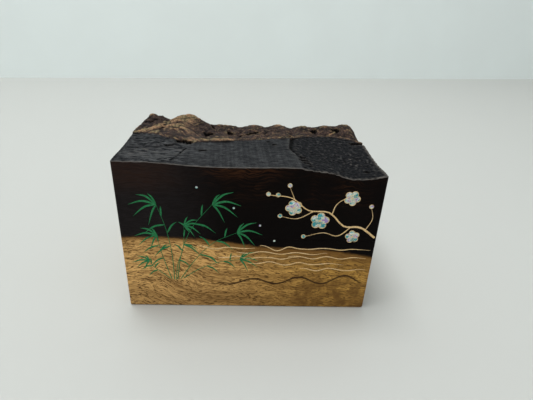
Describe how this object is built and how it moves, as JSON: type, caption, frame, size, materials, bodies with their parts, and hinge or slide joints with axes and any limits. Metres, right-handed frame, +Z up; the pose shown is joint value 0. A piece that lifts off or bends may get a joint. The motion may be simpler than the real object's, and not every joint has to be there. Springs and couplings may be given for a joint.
{
  "type": "incense box",
  "caption": "Small lidded incense box cut from a block of figured dark wood: a hollow lower half and a lift-off lid whose top keeps a worked face and a rough natural crest.",
  "frame": {"origin": "centre of the flat underside, which rests on the table", "axes": "+Z up, +X along the width to the right of the decorated front, -Y out of the decorated front"},
  "size_m": [0.075, 0.0486, 0.0497],
  "materials": {
    "lower_wood": "satin",
    "lid_wood": "satin",
    "gold_line": "satin metal powder",
    "green_line": "gloss lacquer",
    "shell_inlay": "pearly"
  },
  "bodies": {
    "root": {"lower_half": "lower_wood", "lid": "lid_wood"}
  },
  "joints": []
}
